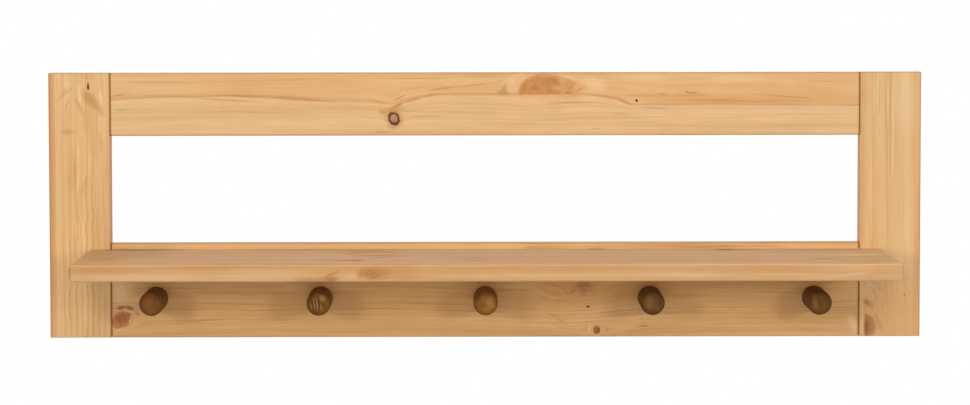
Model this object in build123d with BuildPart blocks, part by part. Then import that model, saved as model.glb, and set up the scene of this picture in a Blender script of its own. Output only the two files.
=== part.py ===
from build123d import *

import os

# Wall shelf with a peg rail, in pine. Millimetres.
# X runs along the shelf, Y points into the wall and Z is up. The origin is on the back face of the top rail,
# half way between the hangers, so the wall is the plane Y = 0 and the frame's front is Y = -board_thickness.

# Frame: two posts with a top rail and a peg rail butted between them
frame_width = 1000.0
frame_height = 304.0
board_thickness = 20.0
post_width = 70.5
top_rail_height = 72.0
peg_rail_height = 108.5
edge_radius = 2.0
arris_radius = 1.2
end_radius = 1.0

# Shelf: a board screwed on its back edge to the frame's front
shelf_depth = 220.0
shelf_thickness = 18.5
shelf_end_inset = 46.0
shelf_drop = 7.0
shelf_edge_radius = 2.0
shelf_lower_end_radius = 4.0

# Pegs: plain round rods, each with a turned tenon in the rail
peg_count = 5
peg_diameter = 27.5
peg_reach = 68.5
peg_height = 45.0
peg_end_margin = 51.5
peg_rim_radius = 3.0
tenon_diameter = 18.0
tenon_length = 12.0
tenon_chamfer = 1.0
tenon_fit = 0.1
tenon_end_gap = 0.5

# Fluted dowels in the corner joints and in the shelf's back edge
joint_dowel_diameter = 8.0
joint_dowel_length = 40.0
joint_dowel_margin = 16.0
shelf_dowel_diameter = 8.0
shelf_dowel_length = 34.0
shelf_dowel_seat = 12.0
dowel_flute_count = 12
dowel_flute_radius = 0.45
dowel_chamfer = 1.0
dowel_fit = 0.05
dowel_end_gap = 1.0

# Screws, all driven from the back, with their heads just under the surface
shelf_screw_count = 5
shelf_screw_diameter = 5.0
shelf_screw_head = 9.6
shelf_screw_length = 60.0
shelf_screw_end_margin = 66.0
peg_screw_diameter = 4.5
peg_screw_head = 8.6
peg_screw_length = 45.0
hanger_screw_diameter = 3.0
hanger_screw_head = 5.6
hanger_screw_length = 12.0
screw_fit = 0.05
head_fit = 0.1
head_sink = 0.3
screw_tip_gap = 2.0

# A wood screw's shape, as shares of its diameter, length or head
root_share = 0.7
pitch_share = 0.5
tip_share = 1.0
plain_share = 0.25
cross_span_share = 0.5
cross_slot_share = 0.15
cross_depth_share = 0.7
cross_taper = 5

# Keyhole hangers, let into the backs of the posts
hanger_length = 52.0
hanger_width = 19.0
hanger_thickness = 2.0
hanger_corner_radius = 4.0
hanger_sink = 0.2
hanger_edge_fit = 0.15
hanger_screw_spacing = 40.0
keyhole_entry_diameter = 9.5
keyhole_slot_width = 5.2
keyhole_travel = 9.0
keyhole_pocket_margin = 1.6
keyhole_pocket_depth = 9.0

# Heights that several pieces share
frame_top = top_rail_height / 2
frame_bottom = frame_top - frame_height
peg_rail_top = frame_bottom + peg_rail_height
peg_rail_middle = (frame_bottom + peg_rail_top) / 2
shelf_top = peg_rail_top - shelf_drop
shelf_middle = shelf_top - shelf_thickness / 2
peg_axis_height = frame_bottom + peg_height
hanger_middle = -keyhole_travel / 2
keyhole_entry = -keyhole_travel

# Places along the width
rail_length = frame_width - 2 * post_width
rail_end = rail_length / 2
post_middle = rail_end + post_width / 2
shelf_length = frame_width - 2 * shelf_end_inset
peg_span = rail_length - 2 * peg_end_margin
shelf_screw_span = shelf_length - 2 * shelf_screw_end_margin
shelf_screw_pitch = shelf_screw_span / (shelf_screw_count - 1)

# Places along the depth
front_face = -board_thickness
board_middle = -board_thickness / 2
tenon_end = front_face + tenon_length
hanger_seat = hanger_sink + hanger_thickness
keyhole_pocket = hanger_seat + keyhole_pocket_depth
keyhole_pocket_width = keyhole_entry_diameter + 2 * keyhole_pocket_margin
hanger_screw_hole = hanger_sink + head_sink + hanger_screw_length + screw_tip_gap
shelf_screw_hole = head_sink + shelf_screw_length - board_thickness + screw_tip_gap


def spread(count, span):
    """Positions of `count` things spread evenly over `span`, centred on zero."""
    return [span * (i / (count - 1) - 0.5) for i in range(count)]


peg_places = spread(peg_count, peg_span)
shelf_screw_places = spread(shelf_screw_count, shelf_screw_span)
shelf_dowel_places = spread(shelf_screw_count - 1, shelf_screw_span - shelf_screw_pitch)
top_dowel_heights = spread(2, top_rail_height - 2 * joint_dowel_margin)
peg_rail_dowel_heights = [
    peg_rail_middle + offset for offset in spread(2, peg_rail_height - 2 * joint_dowel_margin)
]
hanger_screw_heights = [hanger_middle + offset for offset in spread(2, hanger_screw_spacing)]


# Drilling places: a hole's feature cuts along the place's own -Z


def facing_wall(x, z, depth=0.0):
    """On the back of the frame, or `depth` in from it."""
    return Location((x, -depth, z), (-90, 0, 0))


def facing_room(x, y, z):
    """On a face that looks towards the room."""
    return Location((x, y, z), (90, 0, 0))


def facing_side(x, z, side):
    """In the middle of a board's thickness, on a face that looks along +X (side 1) or -X (side -1)."""
    return Location((x, board_middle, z), (0, 90 * side, 0))


# Holes that more than one piece carries


def drill_for_joint_dowels():
    """A blind hole for half of a joint dowel at each current place."""
    Hole(joint_dowel_diameter / 2 + dowel_fit, joint_dowel_length / 2 + dowel_end_gap)


def drill_for_screw(diameter, depth=None):
    """A plain hole for a screw at each current place."""
    Hole(diameter / 2 + screw_fit, depth)


def drill_and_sink_for_screw(diameter, head_diameter):
    """A through hole for a screw, with a seat in which its head lies just under the surface."""
    seat_radius = head_diameter / 2 + head_sink + head_fit
    CounterSinkHole(diameter / 2 + screw_fit, seat_radius, counter_sink_angle=90)


# Posts, left and right


def make_post(side):
    """One upright with its joint holes and hanger's seat, on the left (side -1) or the right (side 1)."""
    middle = side * post_middle
    outwards = Axis((0, 0, 0), (side, 0, 0))
    with BuildPart() as post:
        with BuildSketch(Plane.XY.offset(frame_bottom)):
            with Locations((middle, board_middle)):
                Rectangle(post_width, board_thickness)
        extrude(amount=frame_height)
        fillet(post.faces().sort_by(outwards)[-1].edges().filter_by(Axis.Z), edge_radius)
        fillet(post.faces().sort_by(outwards)[0].edges().filter_by(Axis.Z), arris_radius)
        fillet(post.faces().sort_by(Axis.Z)[-1].edges(), end_radius)
        fillet(post.faces().sort_by(Axis.Z)[0].edges(), end_radius)
        joint_heights = top_dowel_heights + peg_rail_dowel_heights
        with Locations([facing_side(side * rail_end, z, -side) for z in joint_heights]):
            drill_for_joint_dowels()
        back = Plane(origin=(middle, 0, hanger_middle), x_dir=(-1, 0, 0), z_dir=(0, 1, 0))
        with BuildSketch(back):
            RectangleRounded(
                hanger_width + 2 * hanger_edge_fit,
                hanger_length + 2 * hanger_edge_fit,
                hanger_corner_radius + hanger_edge_fit,
            )
        extrude(amount=-hanger_seat, mode=Mode.SUBTRACT)
        with BuildSketch(back):
            SlotCenterToCenter(keyhole_travel, keyhole_pocket_width, rotation=90)
        extrude(amount=-keyhole_pocket, mode=Mode.SUBTRACT)
        with Locations([facing_wall(middle, z) for z in hanger_screw_heights]):
            drill_for_screw(hanger_screw_diameter, hanger_screw_hole)
    return post.part


# Rails, butted between the posts and held by the joint dowels

with BuildPart() as top_rail:
    with BuildSketch(Plane.YZ.offset(-rail_end)):
        with Locations((board_middle, 0)):
            Rectangle(board_thickness, top_rail_height)
    extrude(amount=rail_length)
    fillet(top_rail.edges().filter_by(Axis.X), edge_radius)
    fillet(top_rail.faces().sort_by(Axis.X)[0].edges(), arris_radius)
    fillet(top_rail.faces().sort_by(Axis.X)[-1].edges(), arris_radius)
    joint_places = [(side, z) for side in (-1, 1) for z in top_dowel_heights]
    with Locations([facing_side(side * rail_end, z, side) for side, z in joint_places]):
        drill_for_joint_dowels()

with BuildPart() as peg_rail:
    with BuildSketch(Plane.YZ.offset(-rail_end)):
        with Locations((board_middle, peg_rail_middle)):
            Rectangle(board_thickness, peg_rail_height)
    extrude(amount=rail_length)
    fillet(peg_rail.edges().filter_by(Axis.X), edge_radius)
    fillet(peg_rail.faces().sort_by(Axis.X)[0].edges(), arris_radius)
    fillet(peg_rail.faces().sort_by(Axis.X)[-1].edges(), arris_radius)
    joint_places = [(side, z) for side in (-1, 1) for z in peg_rail_dowel_heights]
    with Locations([facing_side(side * rail_end, z, side) for side, z in joint_places]):
        drill_for_joint_dowels()
    with Locations([facing_room(x, front_face, peg_axis_height) for x in peg_places]):
        Hole(tenon_diameter / 2 + tenon_fit, tenon_length + tenon_end_gap)
    with Locations([facing_wall(x, peg_axis_height) for x in peg_places]):
        drill_and_sink_for_screw(peg_screw_diameter, peg_screw_head)
    with Locations([facing_wall(x, shelf_middle) for x in shelf_screw_places]):
        drill_and_sink_for_screw(shelf_screw_diameter, shelf_screw_head)
    with Locations([facing_room(x, front_face, shelf_middle) for x in shelf_dowel_places]):
        Hole(shelf_dowel_diameter / 2 + dowel_fit, shelf_dowel_seat + dowel_end_gap)


# Shelf: its back edge lies against the posts and the peg rail

with BuildPart() as shelf:
    with BuildSketch(Plane.XY.offset(shelf_top - shelf_thickness)):
        with Locations((0, front_face - shelf_depth / 2)):
            Rectangle(shelf_length, shelf_depth)
    extrude(amount=shelf_thickness)
    fillet(shelf.faces().sort_by(Axis.Z)[0].edges().filter_by(Axis.Y), shelf_lower_end_radius)
    upper_end_edges = shelf.faces().sort_by(Axis.Z)[-1].edges().filter_by(Axis.Y)
    fillet(shelf.faces().sort_by(Axis.Y)[0].edges() + upper_end_edges, shelf_edge_radius)
    with Locations([facing_wall(x, shelf_middle, board_thickness) for x in shelf_screw_places]):
        drill_for_screw(shelf_screw_diameter, shelf_screw_hole)
    with Locations([facing_wall(x, shelf_middle, board_thickness) for x in shelf_dowel_places]):
        Hole(shelf_dowel_diameter / 2 + dowel_fit, shelf_dowel_length - shelf_dowel_seat + dowel_end_gap)


# Pegs


def make_peg(x):
    """A round peg with an eased rim, a tenon behind its shoulder and a screw hole up its middle."""
    with BuildPart() as peg:
        with BuildSketch(Plane.XZ.offset(-front_face)):
            with Locations((x, peg_axis_height)):
                Circle(peg_diameter / 2)
        extrude(amount=peg_reach)
        with BuildSketch(Plane.XZ.offset(-front_face)):
            with Locations((x, peg_axis_height)):
                Circle(tenon_diameter / 2)
        extrude(amount=-tenon_length)
        circles = peg.edges().filter_by(GeomType.CIRCLE).sort_by(Axis.Y)
        fillet(circles[0], peg_rim_radius)
        chamfer(circles[-1], tenon_chamfer)
        with Locations(facing_wall(x, peg_axis_height, -tenon_end)):
            drill_for_screw(peg_screw_diameter, head_sink + peg_screw_length + tenon_end + screw_tip_gap)
    return peg.part


# Dowels and screws, each modelled once about its own origin


def make_dowel(diameter, length):
    """A fluted dowel along Z, centred on the origin."""
    with BuildPart() as dowel:
        Cylinder(diameter / 2, length)
        chamfer(dowel.edges().filter_by(GeomType.CIRCLE), dowel_chamfer)
        with BuildSketch(Plane.XY.offset(-length / 2)):
            with PolarLocations(diameter / 2, dowel_flute_count):
                Circle(dowel_flute_radius)
        extrude(amount=length, mode=Mode.SUBTRACT)
    return dowel.part


def make_screw(diameter, head_diameter, length):
    """A countersunk wood screw along -Z, with the top of its head on the origin and a cross recess in it."""
    thread_radius = diameter / 2
    root_radius = thread_radius * root_share
    head_radius = head_diameter / 2
    head_height = head_radius - root_radius
    pitch = diameter * pitch_share
    tip_start = length - diameter * tip_share
    thread_start = head_height + length * plain_share
    thread_count = int((tip_start - thread_start) / pitch)
    outline = [(0, 0), (head_radius, 0), (root_radius, -head_height)]
    for i in range(thread_count):
        valley = thread_start + i * pitch
        outline += [(root_radius, -valley), (thread_radius, -valley - pitch / 2)]
    outline += [(root_radius, -tip_start), (0, -length)]
    with BuildPart() as screw:
        with BuildSketch(Plane.XZ):
            with BuildLine():
                Polyline(outline, close=True)
            make_face()
        revolve(axis=Axis.Z)
        with BuildSketch(Plane.XY):
            Rectangle(head_diameter * cross_span_share, head_diameter * cross_slot_share)
            Rectangle(head_diameter * cross_slot_share, head_diameter * cross_span_share)
        extrude(amount=-head_height * cross_depth_share, taper=cross_taper, mode=Mode.SUBTRACT)
    return screw.part


joint_dowel = make_dowel(joint_dowel_diameter, joint_dowel_length)
shelf_dowel = make_dowel(shelf_dowel_diameter, shelf_dowel_length)
shelf_screw = make_screw(shelf_screw_diameter, shelf_screw_head, shelf_screw_length)
peg_screw = make_screw(peg_screw_diameter, peg_screw_head, peg_screw_length)
hanger_screw = make_screw(hanger_screw_diameter, hanger_screw_head, hanger_screw_length)


def make_group(fastener, places):
    """One node that holds a copy of a fastener at each place."""
    with BuildPart() as group:
        with Locations(places):
            add(fastener)
    return group.part


def joint_dowels(side, heights):
    """The dowels of one corner joint, half in the rail and half in the post."""
    return make_group(joint_dowel, [facing_side(side * rail_end, z, side) for z in heights])


shelf_dowel_middle = board_thickness - shelf_dowel_seat + shelf_dowel_length / 2
shelf_dowels = make_group(
    shelf_dowel, [facing_wall(x, shelf_middle, shelf_dowel_middle) for x in shelf_dowel_places]
)
shelf_screws = make_group(shelf_screw, [facing_wall(x, shelf_middle, head_sink) for x in shelf_screw_places])
peg_screws = make_group(peg_screw, [facing_wall(x, peg_axis_height, head_sink) for x in peg_places])
hanger_screws = make_group(
    hanger_screw,
    [
        facing_wall(side * post_middle, z, hanger_sink + head_sink)
        for side in (-1, 1)
        for z in hanger_screw_heights
    ],
)


# Hangers: steel plates with a keyhole, whose slot's upper end is level with the origin


def make_hanger(side):
    """The hanger on the left post (side -1) or on the right one (side 1)."""
    outer_face = Plane(
        origin=(side * post_middle, -hanger_sink, hanger_middle), x_dir=(-1, 0, 0), z_dir=(0, 1, 0)
    )
    with BuildPart() as hanger:
        with BuildSketch(outer_face):
            RectangleRounded(hanger_width, hanger_length, hanger_corner_radius)
            SlotCenterToCenter(keyhole_travel, keyhole_slot_width, rotation=90, mode=Mode.SUBTRACT)
            with Locations((0, keyhole_entry - hanger_middle)):
                Circle(keyhole_entry_diameter / 2, mode=Mode.SUBTRACT)
        extrude(amount=-hanger_thickness)
        with Locations([facing_wall(side * post_middle, z, hanger_sink) for z in hanger_screw_heights]):
            drill_and_sink_for_screw(hanger_screw_diameter, hanger_screw_head)
    return hanger.part


# Every piece with its node's name

pieces = {
    "left_post": make_post(-1),
    "right_post": make_post(1),
    "top_rail": top_rail.part,
    "peg_rail": peg_rail.part,
    "shelf": shelf.part,
    "top_rail_dowels_left": joint_dowels(-1, top_dowel_heights),
    "top_rail_dowels_right": joint_dowels(1, top_dowel_heights),
    "peg_rail_dowels_left": joint_dowels(-1, peg_rail_dowel_heights),
    "peg_rail_dowels_right": joint_dowels(1, peg_rail_dowel_heights),
    "shelf_dowels": shelf_dowels,
    "shelf_screws": shelf_screws,
    "peg_screws": peg_screws,
    "left_hanger": make_hanger(-1),
    "right_hanger": make_hanger(1),
    "hanger_screws": hanger_screws,
}
for i, x in enumerate(peg_places):
    pieces[f"peg_{i + 1}"] = make_peg(x)

os.makedirs("parts", exist_ok=True)
for name, piece in pieces.items():
    piece.label = name
    export_step(piece, f"parts/{name}.step")
    print(name, round(piece.volume), "mm3")
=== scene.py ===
# %% [markdown]
# # A pine wall shelf with five pegs
# The shelf is a flat frame of two posts and two rails, with a deep shelf screwed to its front and a row of
# plain round pegs underneath. Every board is plain straight joinery, so the shapes come ready from the CAD
# frame, and the work here is the timber: where each board was sawn from its log, where its knots lie and
# how the oil sits on it.

# %% Load the frame
import math

import bpy
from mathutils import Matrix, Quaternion, Vector


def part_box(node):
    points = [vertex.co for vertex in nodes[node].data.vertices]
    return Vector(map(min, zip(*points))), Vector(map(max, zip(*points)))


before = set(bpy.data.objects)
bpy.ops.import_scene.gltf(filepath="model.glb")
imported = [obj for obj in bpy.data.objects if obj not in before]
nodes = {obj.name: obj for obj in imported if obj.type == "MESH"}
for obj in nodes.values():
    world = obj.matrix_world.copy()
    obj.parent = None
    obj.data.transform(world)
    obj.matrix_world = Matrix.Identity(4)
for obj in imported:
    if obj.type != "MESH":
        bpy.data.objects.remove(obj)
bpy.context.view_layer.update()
print("pieces:", sorted(nodes))

# %% [markdown]
# ## Units and colours
# Blender works in metres and in linear light, but a maker thinks in millimetres and picks paint from a
# screen. MM turns a board's millimetres into metres, and paint turns the 0 to 255 values that a colour picker
# shows into linear light. The camera, the lamps and the floor are placed in metres.

# %% Units and colours
MM = 0.001


def paint(red, green, blue):
    """A colour as a colour picker shows it, turned into the linear light that shaders use."""
    channels = [value / 255 for value in (red, green, blue)]
    linear = [c / 12.92 if c <= 0.04045 else ((c + 0.055) / 1.055) ** 2.4 for c in channels]
    return (*linear, 1.0)


# %% [markdown]
# ## The camera
# A long lens from about four metres keeps the frame's edges parallel, and the small downward pitch shows a
# sliver of the shelf's top. The lens points where it looks, with no shift, so the same camera can be swung
# round the object.

# %% The camera
camera_place = Vector((-0.0241, -4.0716, 0.1503))
camera_yaw = 0.0059
camera_pitch = 0.0649
camera_roll = 0.0013

camera = bpy.data.objects.new("camera", bpy.data.cameras.new("camera"))
bpy.context.scene.collection.objects.link(camera)
camera.data.sensor_width = 36.0
camera.data.lens = 131.3
camera.data.clip_end = 50.0
view_line = Vector((
    math.sin(camera_yaw) * math.cos(camera_pitch),
    math.cos(camera_yaw) * math.cos(camera_pitch),
    -math.sin(camera_pitch),
))
camera.rotation_mode = "QUATERNION"
camera.rotation_quaternion = Quaternion(view_line, camera_roll) @ view_line.to_track_quat("-Z", "Y")
camera.location = camera_place
bpy.context.scene.camera = camera
print("lens", round(camera.data.lens, 1), "mm, looking down", round(math.degrees(camera_pitch), 2), "degrees")

# %% [markdown]
# ## Light
# The room gives a third of the light from all round. Two small soft boxes stand low to the left and right, so
# that each peg gets a double shadow. A large one in the middle is high enough for the shelf to shade the rail
# below it, and the light returns softly down the rail. A weak one hangs high in front for the shelf's top.
# Together they add up to about the plain level at which a colour renders as mixed, so a lamp's power is
# worked out from its share of that.

# %% Light
room_share = 0.33
lamp_target = Vector((0, -0.05, -0.12))
soft_boxes = {
    "left_soft_box": {"place": Vector((-1.60, -2.60, 0.22)), "size": 0.5, "share": 0.17},
    "right_soft_box": {"place": Vector((1.60, -2.60, 0.22)), "size": 0.5, "share": 0.175},
    "front_soft_box": {"place": Vector((0.0, -2.60, 0.75)), "size": 1.2, "share": 0.225},
    "high_soft_box": {"place": Vector((0.0, -2.10, 2.30)), "size": 1.4, "share": 0.085},
}


def add_soft_box(name, place, size, share):
    """A square lamp facing the shelf that gives an upright face there a share of the plain light level."""
    lamp = bpy.data.objects.new(name, bpy.data.lights.new(name, "AREA"))
    bpy.context.scene.collection.objects.link(lamp)
    reach = lamp_target - place
    slant = reach.y / reach.length
    lamp.data.energy = share * math.pi ** 2 * reach.length_squared / slant
    lamp.data.shape = "SQUARE"
    lamp.data.size = size
    lamp.location = place
    lamp.rotation_mode = "QUATERNION"
    lamp.rotation_quaternion = reach.to_track_quat("-Z", "Y")
    print(name, round(lamp.data.energy, 1), "W")


for name, settings in soft_boxes.items():
    add_soft_box(name, **settings)

# %% [markdown]
# ## Joining shader nodes
# A shader is a net of small sums, and these helpers keep the code as short as the sums themselves. One feeds
# a socket with either a wire or a plain value. Then come sums of numbers, sums of points or colours, and a
# smooth step. The last one starts a new finish.

# %% Joining shader nodes


def feed(tree, socket, value):
    """Wires another node's output into a socket, or sets a plain value on it."""
    if isinstance(value, bpy.types.NodeSocket):
        tree.links.new(value, socket)
    else:
        socket.default_value = value


def add_sum(tree, kind, operation, values):
    """A Math or Vector Math node with its values fed in."""
    node = tree.nodes.new(kind)
    node.operation = operation
    for socket, value in zip(node.inputs, values):
        feed(tree, socket, value)
    return node


def calc(tree, operation, *values):
    """One sum of numbers, from wires or plain numbers."""
    return add_sum(tree, "ShaderNodeMath", operation, values).outputs["Value"]


def point_calc(tree, operation, *values):
    """The node of one sum of points or colours, from wires or plain values."""
    return add_sum(tree, "ShaderNodeVectorMath", operation, values)


def rise(tree, value, low, high, top=1.0):
    """0 at low, top at high and a smooth step between them. It falls where low is the larger of the two."""
    node = tree.nodes.new("ShaderNodeMapRange")
    node.interpolation_type = "SMOOTHSTEP"
    feed(tree, node.inputs["Value"], value)
    node.inputs["From Min"].default_value = low
    node.inputs["From Max"].default_value = high
    node.inputs["To Max"].default_value = top
    return node.outputs["Result"]


def new_finish(name):
    """A new material, its node tree and the node of its surface."""
    finish = bpy.data.materials.new(name)
    finish.use_nodes = True
    return finish, finish.node_tree, finish.node_tree.nodes["Principled BSDF"]


# %% [markdown]
# ## The white room
# The world is plain white to the eye and in reflections, and dimmer as a source of light. The Light Path node
# tells the two apart, so a white background costs no extra light on the wood.

# %% The white room
world = bpy.data.worlds.new("white_room")
bpy.context.scene.world = world
world.use_nodes = True
sky = world.node_tree
ray = sky.nodes.new("ShaderNodeLightPath")
seen = calc(sky, "MAXIMUM", ray.outputs["Is Camera Ray"], ray.outputs["Is Glossy Ray"])
seen = calc(sky, "MAXIMUM", seen, ray.outputs["Is Transmission Ray"])
background = sky.nodes["Background"]
background.inputs["Color"].default_value = (1.0, 1.0, 1.0, 1.0)
feed(sky, background.inputs["Strength"], calc(sky, "MULTIPLY_ADD", seen, 1.0 - room_share, room_share))
bpy.context.scene.view_settings.view_transform = "Standard"
print(world.name, "gives", room_share, "of the light")

# %% [markdown]
# ## The floor
# The shelf hangs on a wall, so the floor lies well below it. It is a pale round sheet that keeps the soft
# shadow and fades out towards its rim, and that can be seen through from underneath.

# %% The floor
floor_drop = 0.95
floor_middle = (0, -0.1, -floor_drop)
floor_radius = 2.4
fade_start, fade_end = 0.35 * floor_radius, 0.98 * floor_radius

bpy.ops.object.select_all(action="DESELECT")
bpy.ops.mesh.primitive_circle_add(
    vertices=96, radius=floor_radius, fill_type="NGON", location=floor_middle
)
floor = bpy.context.object
floor.name = "floor"
bpy.ops.object.transform_apply(location=True)
floor_finish, tree, floor_surface = new_finish("pale_floor")
floor.data.materials.append(floor_finish)
floor_surface.inputs["Base Color"].default_value = paint(244, 243, 241)
floor_surface.inputs["Roughness"].default_value = 0.8
floor_point = tree.nodes.new("ShaderNodeTexCoord").outputs["Object"]
reach = point_calc(tree, "DISTANCE", floor_point, floor_middle).outputs["Value"]
fade = rise(tree, reach, fade_start, fade_end)
underside = tree.nodes.new("ShaderNodeNewGeometry").outputs["Backfacing"]
floor_mix = tree.nodes.new("ShaderNodeMixShader")
feed(tree, floor_mix.inputs["Fac"], calc(tree, "MAXIMUM", fade, underside))
feed(tree, floor_mix.inputs[1], floor_surface.outputs["BSDF"])
feed(tree, floor_mix.inputs[2], tree.nodes.new("ShaderNodeBsdfTransparent").outputs["BSDF"])
feed(tree, tree.nodes["Material Output"].inputs["Surface"], floor_mix.outputs["Shader"])
print(floor.name, "lies", floor_drop, "m below the points that the shelf hangs from")

# %% [markdown]
# ## Timber, worked out as a solid
# A board is a slice of a tree, so its grain is one solid pattern: growth rings round a pith, cut by the
# board's faces. Painting each face by itself could never make the lines on the front run over the edge to the
# end grain. The shader therefore measures, in millimetres, how far along, across and through the board each
# point lies, and then how far that is from the pith of its log. First come a few more shorthands: a mix of
# two colours, a change of brightness or tint, points that are put together and taken apart, a noise whose
# patches have a size in millimetres, and the sum of two squares.

# %% Shorthand for timber nodes


def stain(tree, share, colour, other):
    """colour, turned to other by a share from 0 to 1. A Mix node has its colours on inputs 6 and 7."""
    node = tree.nodes.new("ShaderNodeMix")
    node.data_type = "RGBA"
    feed(tree, node.inputs[0], share)
    feed(tree, node.inputs[6], colour)
    feed(tree, node.inputs[7], other)
    return node.outputs[2]


def shade(tree, colour, factor):
    """colour, made brighter or darker by a factor."""
    node = point_calc(tree, "SCALE", colour)
    feed(tree, node.inputs["Scale"], factor)
    return node.outputs["Vector"]


def soak(tree, share, colour, factors):
    """colour, multiplied towards the given red, green and blue factors by a share from 0 to 1."""
    return stain(tree, share, colour, point_calc(tree, "MULTIPLY", colour, factors).outputs["Vector"])


def point_at(tree, *distances):
    """A point made of two or three distances."""
    node = tree.nodes.new("ShaderNodeCombineXYZ")
    for socket, distance in zip(node.inputs, distances):
        feed(tree, socket, distance)
    return node.outputs["Vector"]


def parts_of(tree, kind):
    """The X, Y and Z of a point's Object coordinates, or of the Normal, which is the way a face looks."""
    point = tree.nodes.new("ShaderNodeTexCoord")
    node = tree.nodes.new("ShaderNodeSeparateXYZ")
    feed(tree, node.inputs["Vector"], point.outputs[kind])
    return node.outputs


def mottle(tree, place, lengths, detail=1.0, output="Fac"):
    """Noise whose patches measure about lengths along, across and through the board, in millimetres."""
    node = tree.nodes.new("ShaderNodeTexNoise")
    scaled = [calc(tree, "DIVIDE", distance, length) for distance, length in zip(place, lengths)]
    feed(tree, node.inputs["Vector"], point_at(tree, *scaled))
    node.inputs["Scale"].default_value = 1.0
    node.inputs["Detail"].default_value = detail
    return node.outputs[output]


def swing(tree, noise, size):
    """A noise value as a swing of about size either way."""
    return calc(tree, "MULTIPLY_ADD", noise, 2 * size, -size)


def square_sum(tree, one, other):
    """The squares of two lengths, added up."""
    return calc(tree, "MULTIPLY_ADD", one, one, calc(tree, "MULTIPLY", other, other))


# %% [markdown]
# ## Groups of nodes
# A sum that is needed many times, such as the grain round a knot, goes into a node group. It is drawn once
# and then placed like any other node, with its own inputs and outputs.

# %% Groups of nodes


def new_group(name, inputs, outputs):
    """An empty node group with number sockets of the given names."""
    group = bpy.data.node_groups.new(name, "ShaderNodeTree")
    for socket in inputs:
        group.interface.new_socket(name=socket, in_out="INPUT", socket_type="NodeSocketFloat")
    for socket in outputs:
        group.interface.new_socket(name=socket, in_out="OUTPUT", socket_type="NodeSocketFloat")
    given = group.nodes.new("NodeGroupInput").outputs
    result = group.nodes.new("NodeGroupOutput").inputs
    return group, given, result


def use_group(tree, group, **values):
    """Places a node group and feeds its inputs, whose names are written with underscores for spaces."""
    node = tree.nodes.new("ShaderNodeGroup")
    node.node_tree = group
    for name, value in values.items():
        feed(tree, node.inputs[name.replace("_", " ")], value)
    return node.outputs


# %% [markdown]
# ## Grain round a knot
# A branch grew out through the wood, and the stem's fibres parted round it as a stream parts round a post.
# That is the formula for flow past a round pillar, stretched along the board and softened in the middle. The
# rings also swell towards the face beside a branch, which draws the closed ovals that circle a knot. The group
# gives both.

# %% Grain round a knot
flow_stretch = 0.42
flow_softness = 0.15
swell_reach = 7.0


def make_knot_flow():
    """Push is how far one knot moves the grain aside, Lift how far it raises the rings, in millimetres."""
    group, given, result = new_group(
        "grain_round_a_knot",
        ("along", "across", "knot along", "knot across", "width", "push", "lift"),
        ("Push", "Lift"),
    )
    along = calc(group, "SUBTRACT", given["along"], given["knot along"])
    across = calc(group, "SUBTRACT", given["across"], given["knot across"])
    size_squared = calc(group, "MULTIPLY", given["width"], given["width"])
    flow_squared = square_sum(group, calc(group, "MULTIPLY", along, flow_stretch), across)
    softened = calc(group, "MULTIPLY_ADD", size_squared, flow_softness, flow_squared)
    pull = calc(group, "DIVIDE", calc(group, "MULTIPLY", size_squared, across), softened)
    feed(group, result["Push"], calc(group, "MULTIPLY", pull, given["push"]))
    fading = calc(group, "DIVIDE", flow_squared, calc(group, "MULTIPLY", size_squared, -swell_reach))
    swell = calc(group, "EXPONENT", fading)
    feed(group, result["Lift"], calc(group, "MULTIPLY", swell, given["lift"]))
    return group


knot_flow = make_knot_flow()
print("group", knot_flow.name)

# %% [markdown]
# ## Growth rings
# Each year adds a pale band of spring wood that darkens into a thin line of summer wood, and then stops short
# at the next spring. A saw-tooth of the distance from the pith gives that one-sided line, a little noise
# makes good and bad years, and a random number for each ring makes some lines strong and some faint. Rings
# are counted from the edge of the heartwood, which is the older and more orange wood round the pith. Each
# pair of numbers says between which parts of a year something grows or fades.

# %% Growth rings
season_swing = 2.2
season_pace = 0.43
summer_grows = (0.25, 0.92)
summer_stops = (1.0, 0.93)
summer_power = 1.7
faintest_ring = 0.3
heart_fades = (0.25, -0.05)
border_grows = (-0.7, -0.1)
border_fades = (0.12, -0.05)


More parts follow.
